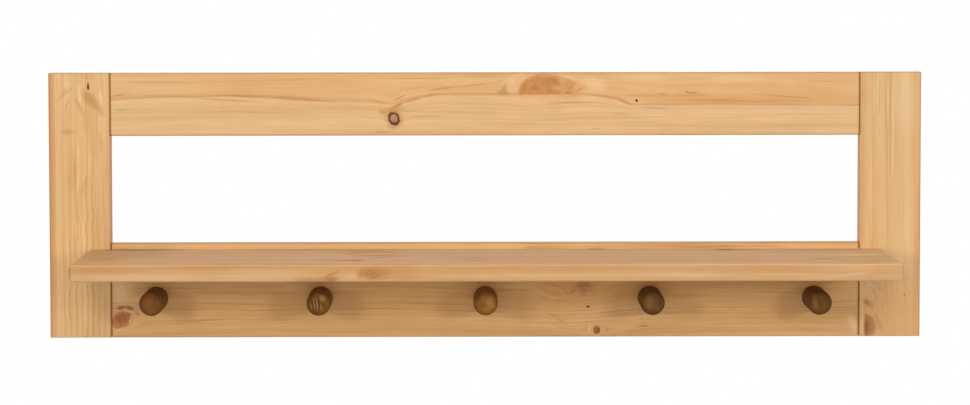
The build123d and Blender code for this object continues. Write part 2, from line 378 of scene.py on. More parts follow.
def make_rings():
    """Summer wood, heartwood and the line where heartwood ends, all from 0 to 1."""
    group, given, result = new_group(
        "growth_rings",
        ("across", "through", "pith across", "pith through", "heart radius", "ring width", "seed"),
        ("Summer", "Heart", "Border"),
    )
    across = calc(group, "SUBTRACT", given["across"], given["pith across"])
    through = calc(group, "SUBTRACT", given["through"], given["pith through"])
    from_pith = calc(group, "SQRT", square_sum(group, across, through))
    beyond_heart = calc(group, "SUBTRACT", from_pith, given["heart radius"])
    even_years = calc(group, "DIVIDE", beyond_heart, given["ring width"])
    seasons = []
    for years in (even_years, 0.0):
        season = group.nodes.new("ShaderNodeTexNoise")
        season.noise_dimensions = "1D"
        feed(group, season.inputs["W"], calc(group, "MULTIPLY_ADD", years, season_pace, given["seed"]))
        season.inputs["Scale"].default_value = 1.0
        season.inputs["Detail"].default_value = 0.0
        seasons.append(season.outputs["Fac"])
    drift = calc(group, "SUBTRACT", *seasons)
    years = calc(group, "MULTIPLY_ADD", drift, season_swing, even_years)
    season = calc(group, "FRACT", years)
    summer = calc(group, "POWER", rise(group, season, *summer_grows), summer_power)
    summer = calc(group, "MULTIPLY", summer, rise(group, season, *summer_stops))
    luck = group.nodes.new("ShaderNodeTexWhiteNoise")
    luck.noise_dimensions = "1D"
    feed(group, luck.inputs["W"], calc(group, "ADD", calc(group, "FLOOR", years), given["seed"]))
    weight = calc(group, "MULTIPLY_ADD", luck.outputs["Value"], 1.0 - faintest_ring, faintest_ring)
    feed(group, result["Summer"], calc(group, "MULTIPLY", summer, weight))
    feed(group, result["Heart"], rise(group, years, *heart_fades))
    border = calc(group, "MULTIPLY", rise(group, years, *border_grows), rise(group, years, *border_fades))
    feed(group, result["Border"], border)
    return group


growth_rings = make_rings()
print("group", growth_rings.name)

# %% [markdown]
# ## The knots' own faces
# Several kinds lie in these boards. A ringed knot is a dead branch, held in a dark ring of bark, with a paler
# heart. A live branch is one with the wood round it, and shows as a red-brown eye. A soft knot is only a
# warmer, swirling patch, where the saw just missed the branch. A pin knot is a dark speck, and a bend is a
# knot that lies deeper and only turns the grain. Each kind is a few colours and where its ring sits. The pairs
# below say, in radii of the knot, between where and where a part of it grows or fades.

# %% Kinds of knot
knot_kinds = {
    "ringed": {
        "heart": paint(196, 152, 106), "deep": paint(160, 106, 66), "core": 0.35, "rim": paint(88, 42, 20),
        "rim_from": 0.70, "rim_weight": 0.95, "halo": paint(184, 132, 70), "halo_weight": 0.6, "ragged": 0.2,
    },
    "live": {
        "heart": paint(198, 136, 84), "deep": paint(152, 84, 44), "core": 0.8, "rim": paint(188, 124, 70),
        "rim_from": 0.90, "rim_weight": 0.4, "halo": paint(224, 174, 118), "halo_weight": 0.5, "ragged": 0.05,
    },
    "soft": {
        "heart": paint(216, 156, 94), "deep": paint(180, 112, 56), "core": 0.25, "rim": paint(198, 134, 72),
        "rim_from": 0.9, "rim_weight": 0.5, "halo": paint(230, 188, 136), "halo_weight": 0.4, "ragged": 0.10,
    },
    "pin": {
        "heart": paint(116, 66, 34), "deep": paint(82, 44, 22), "core": 0.7, "rim": paint(140, 90, 50),
        "rim_from": 0.7, "rim_weight": 0.6, "halo": paint(234, 186, 136), "halo_weight": 0.6, "ragged": 0.14,
    },
}
knot_year_lines = 5.0
year_line_weight = 0.2
patch_contrast = (0.30, 0.70)
patch_weight = 0.4
core_fades = (0.95, 0.15)
edge_fades = (1.06, 0.86)
halo_fades = (2.0, 1.0)
rim_steps = (-0.10, 0.04)
rim_fades = (1.12, 0.98)
print("kinds of knot:", sorted(knot_kinds))


def knot_look(knot):
    """The look of a knot's kind, with this knot's own changes to it."""
    return {**knot_kinds[knot["kind"]], **knot.get("look", {})}


def draw_knot(tree, colour, knot, distance, patches, shown):
    """The board's colour with one knot on it. shown is 0 where the board is cut off from the knot."""
    look = knot_look(knot)
    halo = calc(tree, "MULTIPLY", rise(tree, distance, *halo_fades, look["halo_weight"]), shown)
    colour = stain(tree, halo, colour, look["halo"])
    lines = calc(tree, "FRACT", calc(tree, "MULTIPLY_ADD", distance, knot_year_lines, patches))
    dark_patches = rise(tree, patches, *patch_contrast, patch_weight)
    deep = calc(tree, "MULTIPLY_ADD", lines, year_line_weight, dark_patches)
    deep = calc(tree, "ADD", deep, rise(tree, distance, *core_fades, look["core"]))
    inside = calc(tree, "MULTIPLY", rise(tree, distance, *edge_fades), shown)
    colour = stain(tree, inside, colour, stain(tree, deep, look["heart"], look["deep"]))
    rim_grows = [look["rim_from"] + step for step in rim_steps]
    outer_rim = rise(tree, distance, *rim_fades, look["rim_weight"])
    rim = calc(tree, "MULTIPLY", rise(tree, distance, *rim_grows), outer_rim)
    return stain(tree, calc(tree, "MULTIPLY", rim, shown), colour, look["rim"])


# %% [markdown]
# ## Strokes
# Timber is full of small accidents: a resin streak, a bruise, a line that is darker than the rest for the
# length of a hand, a pale patch where the grain turns. Each is laid on as a soft stroke between two points. A
# Mapping node of the Texture kind fits a ball of radius 1 to the stroke, turned and stretched, and a spherical
# gradient fades it out. The ball is a little longer and wider than the stroke, since its rim is too faint to
# see.

# %% Strokes
ball_length = 1.2
ball_width = 1.7
full_strength = 0.75


def fit_ball(tree, flat, middle, turn, half_sizes):
    """A flat point as it lies in a ball of radius 1 that is turned and stretched over a mark."""
    fit = tree.nodes.new("ShaderNodeMapping")
    fit.vector_type = "TEXTURE"
    feed(tree, fit.inputs["Vector"], flat)
    fit.inputs["Location"].default_value = (*middle, 0)
    fit.inputs["Rotation"].default_value = (0, 0, turn)
    fit.inputs["Scale"].default_value = (*half_sizes, 1)
    return fit.outputs["Vector"]


def lay_stroke(tree, colour, flat, stroke, tint):
    """colour with one stroke of tint: (along, across) at each end, half its width, and how strong it is."""
    along_1, across_1, along_2, across_2, half_width, weight = stroke
    middle = ((along_1 + along_2) / 2, (across_1 + across_2) / 2)
    turn = math.atan2(across_2 - across_1, along_2 - along_1)
    half_length = math.hypot(along_2 - along_1, across_2 - across_1) / 2
    half_sizes = (ball_length * half_length + half_width, ball_width * half_width)
    fitted = fit_ball(tree, flat, middle, turn, half_sizes)
    ball = tree.nodes.new("ShaderNodeTexGradient")
    ball.gradient_type = "SPHERICAL"
    feed(tree, ball.inputs["Vector"], fitted)
    return stain(tree, rise(tree, ball.outputs["Fac"], 0.0, full_strength, weight), colour, tint)


def lay_strokes(tree, colour, flat, strokes, timber):
    """colour with all strokes, which are listed under the names of their tints."""
    for tint, marks in strokes.items():
        for stroke in marks:
            colour = lay_stroke(tree, colour, flat, stroke, timber[tint])
    return colour


# %% [markdown]
# ## Where a point lies in its board
# A board is described as a sawyer would: which way it lies, where its pith was, how wide its rings are, where
# it is glued up from narrower strips, and its knots. These first steps turn Object coordinates into
# millimetres along, across and through the board. Each strip of a glued board comes from another tree, so the
# pattern jumps there.

# %% Where a point lies in its board
tree_spacing = 517.0


def board_place(tree, board):
    """How far along, across and through the board a point is, in millimetres."""
    parts = parts_of(tree, "Object")
    place = []
    for direction, middle in zip(board["lies"], board["middle"]):
        distance = calc(tree, "SUBTRACT", parts[direction], middle)
        place.append(calc(tree, "DIVIDE", distance, MM))
    return place


def tree_place(tree, board, place):
    """The same point in its own tree: past each glue line the wood comes from further along and across."""
    along, across, through = place
    along = calc(tree, "ADD", along, board["seed"] * tree_spacing)
    for line, along_jump, across_jump in board["glue_lines"]:
        past = calc(tree, "GREATER_THAN", place[1], line)
        along = calc(tree, "MULTIPLY_ADD", past, along_jump, along)
        across = calc(tree, "MULTIPLY_ADD", past, across_jump, across)
    return along, across, through


# %% [markdown]
# ## Bending the grain
# Straight grain is only a start. Slow noise makes it drift, a traced line pulls it to where the eye would
# follow it along the board, and each knot parts it. A Float Curve node holds a traced line: a few points
# along the board, with a smooth curve through them.

# %% Bending the grain
curve_span = 100.0
wander_size = (260, 70, 70)
wander_detail = 1.5
wavy_side_blur = 6
wavy_foot_steps = (70, -40)


def traced_offset(tree, place, line):
    """How far a traced line of grain has left its straight course, fading out to both sides of it."""
    start = line["points"][0][0]
    length = line["points"][-1][0] - start
    spots = []
    for along, across in line["points"]:
        spots.append(((along - start) / length, 0.5 + (across - line["across"]) / curve_span))
    node = tree.nodes.new("ShaderNodeFloatCurve")
    node.mapping.use_clip = False
    curve = node.mapping.curves[0]
    curve.points[0].location = spots[0]
    curve.points[1].location = spots[-1]
    for x, y in spots[1:-1]:
        curve.points.new(x, y)
    node.mapping.update()
    feed(tree, node.inputs["Value"], calc(tree, "DIVIDE", calc(tree, "SUBTRACT", place[0], start), length))
    offset = calc(tree, "MULTIPLY_ADD", node.outputs["Value"], curve_span, -0.5 * curve_span)
    beside = calc(tree, "DIVIDE", calc(tree, "SUBTRACT", place[1], line["across"]), line["reach"])
    fade = calc(tree, "EXPONENT", calc(tree, "MULTIPLY", calc(tree, "MULTIPLY", beside, beside), -1.0))
    return calc(tree, "MULTIPLY", offset, fade)


def wavy_share(tree, board, place):
    """How wavy the grain is at a point, from 0 to 1: only past one side line, and more towards the foot."""
    side, foot = board["wavy_side"], board["wavy_foot"]
    past_side = rise(tree, place[1], side - wavy_side_blur, side + wavy_side_blur)
    towards_foot = rise(tree, place[0], *[foot + step for step in wavy_foot_steps])
    return calc(tree, "MULTIPLY", past_side, towards_foot)


def bend_grain(tree, board, place, spot):
    """Where the bent grain at a point would lie in straight grain."""
    wander = tree.nodes.new("ShaderNodeSeparateColor")
    feed(tree, wander.inputs["Color"], mottle(tree, spot, wander_size, wander_detail, "Color"))
    wave = swing(tree, mottle(tree, spot, board["wobble_size"]), board["wobble"])
    if "wavy_side" in board:
        wave = calc(tree, "MULTIPLY", wave, wavy_share(tree, board, place))
    across = calc(tree, "ADD", spot[1], swing(tree, wander.outputs["Red"], board["drift"]))
    across = calc(tree, "ADD", across, wave)
    through = calc(tree, "ADD", spot[2], swing(tree, wander.outputs["Green"], board["roll"]))
    for line in board["traced"]:
        across = calc(tree, "SUBTRACT", across, traced_offset(tree, place, line))
    for knot in board["knots"]:
        knot_along, knot_across = knot["at"]
        flow = use_group(
            tree, knot_flow, along=place[0], across=place[1], knot_along=knot_along,
            knot_across=knot_across, width=knot["size"][1], push=knot["push"], lift=knot["lift"],
        )
        across = calc(tree, "SUBTRACT", across, flow["Push"])
        through = calc(tree, "ADD", through, flow["Lift"])
    return across, through


# %% [markdown]
# ## The wood's colours
# Heartwood is more orange than sapwood, both vary in broad clouds and narrow bands, and the summer lines are
# a warmer tone of the same colour. Fine fibres, streaks and a broader figure change the brightness by a few
# percent. The other names are the tints that strokes are laid on with. A size is how long, wide and thick a
# patch is in millimetres, a contrast says from which noise value it shows and where it is full, and a swing is
# a share of the brightness.

# %% The wood's colours
timber = {
    "heart": (paint(229, 184, 130), paint(219, 171, 113)),
    "sap": (paint(229, 190, 139), paint(222, 181, 127)),
    "summer": paint(196, 144, 86),
    "band": paint(212, 158, 98),
    "cream": paint(240, 208, 160),
    "rose": paint(210, 152, 100),
    "rust": paint(192, 130, 68),
    "olive": paint(188, 142, 78),
    "fleck": paint(156, 100, 50),
    "bark": paint(94, 54, 28),
}
cloud_size = (380, 20, 26)
cloud_contrast = (0.32, 0.68)
band_contrast = (0.50, 0.78)
ripple_contrast = (-0.4, 0.95)
line_contrast = (0.25, 0.68)
border_contrast = (0.2, 0.6)
fibre_size, fibre_swing = (30, 0.8, 0.8), 0.07
streak_size, streak_swing = (70, 2.8, 2.8), 0.07
figure_size, figure_swing = (30, 17, 17), 0.05
fleck_size = (7, 0.55, 0.55)
fleck_contrast = (0.74, 0.86)
fleck_weight = 0.35
print("colours of the wood:", sorted(timber))


def ripple(tree, board, place, across, colour, tint):
    """colour with broad soft stripes of tint that follow the wavy grain."""
    spacing, weight = board["ripples"]
    swell = calc(tree, "SINE", calc(tree, "MULTIPLY", across, 2 * math.pi / spacing))
    swell = rise(tree, swell, *ripple_contrast, weight)
    return stain(tree, calc(tree, "MULTIPLY", swell, wavy_share(tree, board, place)), colour, tint)


def ground_colour(tree, board, grain, rings):
    """Heartwood or sapwood with its clouds and bands."""
    wood = board["timber"]
    share = rise(tree, mottle(tree, grain, cloud_size, 2.0), *cloud_contrast)
    sap = stain(tree, share, *wood["sap"])
    colour = stain(tree, rings["Heart"], sap, stain(tree, share, *wood["heart"]))
    bands = rise(tree, mottle(tree, grain, board["band_size"]), *band_contrast, board["bands"])
    return stain(tree, bands, colour, wood["band"])


def draw_rings(tree, board, flow, colour, rings):
    """colour with the summer lines and the border of the heartwood on it, stronger here and weaker there."""
    lines = mottle(tree, flow, board["line_size"])
    strength = rise(tree, lines, *line_contrast, board["contrast"])
    in_heart = calc(tree, "MULTIPLY_ADD", rings["Heart"], board["heart_lines"] - 1.0, 1.0)
    summer = calc(tree, "MULTIPLY", calc(tree, "MULTIPLY", rings["Summer"], in_heart), strength)
    border = calc(tree, "MULTIPLY", rings["Border"], rise(tree, lines, *border_contrast, board["border"]))
    return stain(tree, calc(tree, "MAXIMUM", summer, border), colour, board["timber"]["summer"])


def timber_colour(tree, board, place, spot, bent, rings):
    """The colour of clear wood at a point, and the fibre pattern that also shapes the surface."""
    wood = board["timber"]
    across, through = bent
    flow = (spot[0], across, spot[2])
    colour = ground_colour(tree, board, (spot[0], across, through), rings)
    if "ripples" in board:
        colour = ripple(tree, board, place, across, colour, wood["summer"])
    colour = draw_rings(tree, board, flow, colour, rings)
    fibres = mottle(tree, flow, fibre_size, 1.5)
    streaks = swing(tree, mottle(tree, flow, streak_size), streak_swing)
    figure = swing(tree, mottle(tree, spot, figure_size), figure_swing)
    tone = calc(tree, "ADD", swing(tree, fibres, fibre_swing), streaks)
    tone = calc(tree, "ADD", tone, figure)
    colour = shade(tree, colour, calc(tree, "ADD", tone, 1.0))
    flecks = rise(tree, mottle(tree, flow, fleck_size, 0.0), *fleck_contrast, fleck_weight)
    return stain(tree, flecks, colour, wood["fleck"]), fibres


# %% [markdown]
# ## Ends, edges and joints
# End grain drinks more oil and goes dark, the rounded long edges are darkened a little, and painted shade
# darkens the fine grooves where two boards meet. The first two follow the way the surface faces, and the last
# one follows the two joint lines of the frame. The shelf's upper edges are painted pale instead, as a
# highlight, and by the way its faces look the shelf gets painted shade on its front and painted light on its
# top. A soak is what is left of red, green and blue. A pair named turn says how far a surface has to face
# that way, from 0 to 1, before it starts to darken and until it is full.

# %% Ends, edges and joints
end_soak = (0.66, 0.56, 0.46)
edge_soak = (0.90, 0.87, 0.82)
groove_painted_shade = (0.58, 0.47, 0.33)
edge_turn = (0.10, 0.50)
upward_turn = 0.1
face_turn = (0.50, 0.95)
end_turn = (0.35, 0.98)
groove_reach = (2.4, 0.3)
rim_reach = (7.0, 13.2)
rail_boxes = [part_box("top_rail"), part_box("peg_rail")]
joint_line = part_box("left_post")[1].x / -MM
print("joint lines", round(joint_line, 2), "mm either side of the middle")


def darken_ends(tree, board, colour):
    """The colour with darker end grain and square edges, and a painted edge highlight, front shade and top
    light if asked.
    """
    facing = parts_of(tree, "Normal")
    end, across, through = [calc(tree, "ABSOLUTE", facing[direction]) for direction in board["lies"]]
    if board["square"]:
        edge = rise(tree, calc(tree, "MULTIPLY", across, through), *edge_turn)
        upper = calc(tree, "GREATER_THAN", facing["Z"], upward_turn)
        lower = calc(tree, "SUBTRACT", 1.0, upper)
        # On the shelf the upper edges get a painted highlight here; other boards' upper edges darken like the
        # lower ones.
        colour = soak(tree, calc(tree, "MULTIPLY", edge, upper), colour, board["upper_edge_or_painted_highlight"])
        colour = soak(tree, calc(tree, "MULTIPLY", edge, lower), colour, edge_soak)
    # The shelf's front gets painted shade and its top painted light, by the way these faces look.
    if "painted_front_shade" in board:
        front = rise(tree, facing["Y"], *[-turn for turn in face_turn])
        colour = soak(tree, front, colour, board["painted_front_shade"])
        colour = soak(tree, rise(tree, facing["Z"], *face_turn), colour, board["painted_top_light"])
    return soak(tree, rise(tree, end, *end_turn), colour, board["end_soak"])


def darken_rim(tree, board, colour, place):
    """A rod's colour, darkening from half way out to its rim and on along its side, for oil and painted shade.
    """
    from_middle = calc(tree, "SQRT", square_sum(tree, place[1], place[2]))
    return soak(tree, rise(tree, from_middle, *rim_reach), colour, board["rim_oil_and_shade"])


def darken_joints(tree, colour):
    """The frame's colour with painted shade in the grooves between its posts and rails."""
    parts = parts_of(tree, "Object")
    side = calc(tree, "ABSOLUTE", calc(tree, "DIVIDE", parts["X"], MM))
    off_line = calc(tree, "ABSOLUTE", calc(tree, "SUBTRACT", side, joint_line))
    beside_rail = 0.0
    for low, high in rail_boxes:
        above = calc(tree, "GREATER_THAN", parts["Z"], low.z)
        below = calc(tree, "LESS_THAN", parts["Z"], high.z)
        beside_rail = calc(tree, "MULTIPLY_ADD", above, below, beside_rail)
    # Painted shade in the grooves, full on the joint line and fading out within a few millimetres.
    groove = calc(tree, "MULTIPLY", rise(tree, off_line, *groove_reach), beside_rail)
    return soak(tree, groove, colour, groove_painted_shade)


# %% [markdown]
# ## One finish from all this
# The steps are put together here: place, grain, rings, colour, knots, strokes, ends and joints, and at last
# the surface. Oil leaves a soft satin sheen, so the wood is fairly rough, and the fibres and summer lines
# stand a few hundredths of a millimetre proud. What most boards and knots have in common is written once, in
# plain_board and plain_knot, and each board only says where it differs.

# %% One finish from all this
plain_board = {
    "timber": timber, "glue_lines": [], "traced": [], "strokes": {}, "in_frame": False, "square": True,
    "tone": (1.0, 1.0, 1.0), "end_soak": end_soak, "upper_edge_or_painted_highlight": edge_soak, "heart_lines": 0.45,
    "wobble_size": (60, 14, 14), "band_size": (500, 7, 9), "line_size": (90, 2.6, 2.6), "matt": 0.44,
    "sheen": 0.22,
}
plain_knot = {"turn": 0.0, "push": 1.0, "lift": 0.0, "grain": 4.5}
cut_blur = 0.5
edge_stroke_depth = (6.0, 1.0)
fibre_roughness = 0.12
summer_relief, fibre_relief = 0.4, 0.6
relief_strength = 0.3
relief_height = 0.2 * MM


def knot_distance(tree, knot, place, patches):
    """How far a point lies from a knot's middle, as a share of its size, with a slightly ragged edge."""
    flat = point_at(tree, place[0], place[1])
    fitted = fit_ball(tree, flat, knot["at"], math.radians(knot["turn"]), knot["size"])
    reach = point_calc(tree, "LENGTH", fitted).outputs["Value"]
    return calc(tree, "ADD", reach, swing(tree, patches, knot_look(knot)["ragged"]))


def add_knots(tree, board, colour, place, spot):
    """The board's colour with all its knots drawn on it."""
    for knot in board["knots"]:
        if knot["kind"] == "bend":
            continue
        grain = knot["grain"]
        patches = mottle(tree, spot, (grain, grain, 2 * grain))
        shown = 1.0
        if "above" in knot:
            shown = rise(tree, place[1], knot["above"] - cut_blur, knot["above"] + cut_blur)
        distance = knot_distance(tree, knot, place, patches)
        colour = draw_knot(tree, colour, knot, distance, patches, shown)
    return colour


def add_marks(tree, board, colour, place):
    """The board's colour with the strokes on its front, on its edge and, with its dark rim, on a rod's end."""
    along, across, through = place
    wood = board["timber"]
    colour = lay_strokes(tree, colour, point_at(tree, along, across), board["strokes"], wood)
    if "edge_strokes" in board:
        on_edge = lay_strokes(tree, colour, point_at(tree, along, through), board["edge_strokes"], wood)
        colour = stain(tree, rise(tree, across, *edge_stroke_depth), colour, on_edge)
    if "face_strokes" in board:
        colour = lay_strokes(tree, colour, point_at(tree, across, through), board["face_strokes"], wood)
        colour = darken_rim(tree, board, colour, place)
    return colour


def pine(name, board):
    """An oiled pine finish for one board."""
    board = {**plain_board, **board}
    board["knots"] = [{**plain_knot, **knot} for knot in board["knots"]]
    finish, tree, surface = new_finish(name)
    place = board_place(tree, board)
    spot = tree_place(tree, board, place)
    bent = bend_grain(tree, board, place, spot)
    rings = use_group(
        tree, growth_rings, across=bent[0], through=bent[1], pith_across=board["pith"][0],
        pith_through=board["pith"][1], heart_radius=math.dist(board["heart_edge"], board["pith"]),
        ring_width=board["ring_width"], seed=float(board["seed"]),
    )
    colour, fibres = timber_colour(tree, board, place, spot, bent, rings)
    colour = soak(tree, 1.0, colour, board["tone"])
    colour = add_knots(tree, board, colour, place, spot)
    colour = add_marks(tree, board, colour, place)
    colour = darken_ends(tree, board, colour)
    if board["in_frame"]:
        colour = darken_joints(tree, colour)
    feed(tree, surface.inputs["Base Color"], colour)
    roughness = calc(tree, "MULTIPLY_ADD", fibres, fibre_roughness, board["matt"])
    feed(tree, surface.inputs["Roughness"], roughness)
    surface.inputs["Specular IOR Level"].default_value = board["sheen"]
    fibre_height = calc(tree, "MULTIPLY", fibres, fibre_relief)
    relief = calc(tree, "MULTIPLY_ADD", rings["Summer"], summer_relief, fibre_height)
    bump = tree.nodes.new("ShaderNodeBump")
    bump.inputs["Strength"].default_value = relief_strength
    bump.inputs["Distance"].default_value = relief_height
    feed(tree, bump.inputs["Height"], relief)
    feed(tree, surface.inputs["Normal"], bump.outputs["Normal"])
    return finish


def dress(node_name, finish):
    """Gives a CAD piece its finish and names the material slot it stands for."""
    piece = nodes[node_name]
    piece.data.materials.clear()
    piece.data.materials.append(finish)
    print(node_name, "wears", finish.name)


# %% [markdown]
# ## The top rail
# It is flat-sawn: its pith lay behind the board's upper edge. The orange heartwood fills the upper part and
# the pale sapwood below it is finely ruled. The border between them slopes down to a dead knot left of the
# middle, leaves it steeply, passes under a large soft knot at the upper edge, and drops again past a pin knot.

# %% The top rail
top_low, top_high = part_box("top_rail")
front = top_low.y
top_rail_board = {
    "lies": "XZY", "middle": (0.0, (top_low.z + top_high.z) / 2, front), "seed": 3, "in_frame": True,
    "pith": (33.0, 40.0), "ring_width": 2.9, "heart_edge": (6.0, 0.0), "drift": 1.0, "roll": 1.5,
    "wobble": 0.5, "bands": 0.45, "contrast": 0.46, "border": 0.75,
    "traced": [
        {
            "across": 6.0, "reach": 12.0,
            "points": [
                (-430, 3.5), (-384, 6.6), (-338, 7.6), (-292, 9.6), (-250, 7.7), (-177, 3.2), (-124, 0.2),
                (-110, -2.6), (-105, -3.6), (-98, 0.5), (-85, 5.0), (-70, 8.5), (-55, 11.0), (-20, 11.2),
                (70, 10.6), (113, 9.5), (138, 6.6), (151, 4.6), (160, 1.6), (168, -1.8), (190, -4.3),
                (213, -5.5), (248, -3.8), (328, -5.5), (430, -7.2),
            ],
        },
    ],
    "knots": [
        {"kind": "ringed", "at": (-104.4, -16.4), "size": (6.3, 7.6), "turn": 24, "push": 0.6},
        {"kind": "soft", "at": (71.0, 9.5), "size": (33.0, 24.0), "push": 0.15, "above": 10.8, "grain": 11.0},
        {
            "kind": "pin", "at": (173.8, 3.7), "size": (1.9, 1.8), "push": 1.6,
            "look": {"deep": paint(62, 30, 22), "halo": paint(238, 202, 172), "halo_weight": 0.75},
        },
    ],
    "strokes": {
        "band": [(179, 6.5, 335, 5.5, 6.5, 0.5), (86, 14, 112, 17, 9, 0.6), (300, 8, 430, 8, 8, 0.3)],
        "cream": [
            (28, 16, 31, 30, 3.5, 0.25), (32, 32, 46, 34, 2.0, 0.25), (116, 27, 136, 18, 7, 0.4),
            (86, 27, 98, 30, 3.4, 0.25), (78, 17, 90, 20, 2.8, 0.15),
            (148, 31, 212, 30, 3.5, 0.35), (250, 29, 330, 28, 2.5, 0.25), (-420, 15, -300, 17, 5, 0.2),
        ],
        "rust": [
            (-338, 7.4, -254, 2.8, 1.0, 0.55), (-124, 29.5, -24, 29.6, 1.0, 0.45),
            (-24, 29.6, 20, 33, 0.9, 0.3),
            (-308, 11.0, -250, 7.6, 1.0, 0.6), (-250, 7.6, -164, 2.9, 1.3, 0.5), (48, 14, 60, 26, 3.0, 0.35),
            (86, 31, 106, 22, 2.2, 0.45), (104, 13.5, 113, 19, 1.2, 0.5), (150, 9.5, 215, 10, 1.4, 0.3),
            (-94, 1.2, -72, 8.2, 1.3, 0.65), (-72, 8.2, -54, 11.4, 1.2, 0.5), (43, 12, 50, 24, 2.6, 0.45),
            (226, 4.0, 300, 5.4, 1.0, 0.45), (300, 5.4, 380, 2.0, 1.0, 0.4), (205, 9.0, 262, 10.4, 1.3, 0.35),
            (-107, -4.4, -92, 2.2, 1.4, 0.85), (-121, -7.6, -113, -10, 1.8, 0.6),
            (41, 12.5, 48, 26, 3.8, 0.75),
            (48, 27, 64, 33, 3.0, 0.55), (55, 20, 82, 26, 6.0, 0.45), (94, 14, 104, 25, 1.6, 0.5),
            (-107, 3.2, -90, 11, 1.0, 0.6), (-137, 7.7, -113, 0.5, 0.8, 0.4), (-69, 15.2, -32, 20, 1.1, 0.55),
            (-32, 20, 7, 24, 1.0, 0.5), (7, 24, 22, 27.5, 0.9, 0.4), (-91, -14, -45, -13.6, 1.0, 0.4),
            (65, 1.4, 135, 1.4, 1.1, 0.5), (144, -10.7, 167, -12.4, 0.9, 0.3), (206, 3.7, 335, 2, 0.9, 0.45),
            (303, 11.4, 385, 5, 1.0, 0.5), (266, 4.3, 362, 0, 0.9, 0.4), (351, 25.8, 429, 24.8, 0.9, 0.35),
            (58, 12.6, 76, 12.8, 0.8, 0.5), (-325, 25.4, -150, 30.2, 1.1, 0.3),
            (-427, 25.6, -325, 25.2, 1.1, 0.3),
        ],
        "rose": [(-230, -32.6, 100, -32.8, 1.4, 0.4), (100, -32.8, 430, -33, 1.4, 0.35)],
        "olive": [
            (-115, -7, -91, -5.5, 3.0, 0.5), (-122, -8.5, -112, -11, 2.0, 0.3),
            (-112, -26, -101, -27, 1.4, 0.45),
            (14, 13, 27, 13, 3.0, 0.8), (20, 15, 24, 21, 2.4, 0.6), (-101, -8.5, -66, -6.5, 0.9, 0.35),
            (251, -22.4, 251.6, -21.4, 0.7, 0.6),
            (-128, -31.8, -106, -32.2, 1.4, 0.4), (121, -28.2, 135, -28.8, 0.6, 0.4),
        ],
        "fleck": [
            (-427, 9.6, -411, 12, 0.8, 0.5), (229, 14.2, 233, 13, 1.0, 0.5),
            (231, 12.8, 245, 12.5, 0.9, 0.55), (53, 18.6, 62, 17.4, 1.8, 0.45),
            (77, 28, 85, 21, 2.2, 0.4), (91, 12.8, 100, 12.6, 1.0, 0.6), (152, 5, 169, -2.6, 0.9, 0.4),
            (169, -2.8, 215, -6, 0.9, 0.3), (-423, -6.4, -409, -6.2, 0.6, 0.4),
            (196, 11.2, 211, 11.2, 0.8, 0.35),
        ],
    },
}
dress("top_rail", pine("top_rail_pine", top_rail_board))

# %% [markdown]
# ## The peg rail
# A red-brown live knot sits at its left end, cut by the joint. Right of the middle the grain swirls round a
# bruise that lies just under the shelf, with a pin knot and a small live one below it.

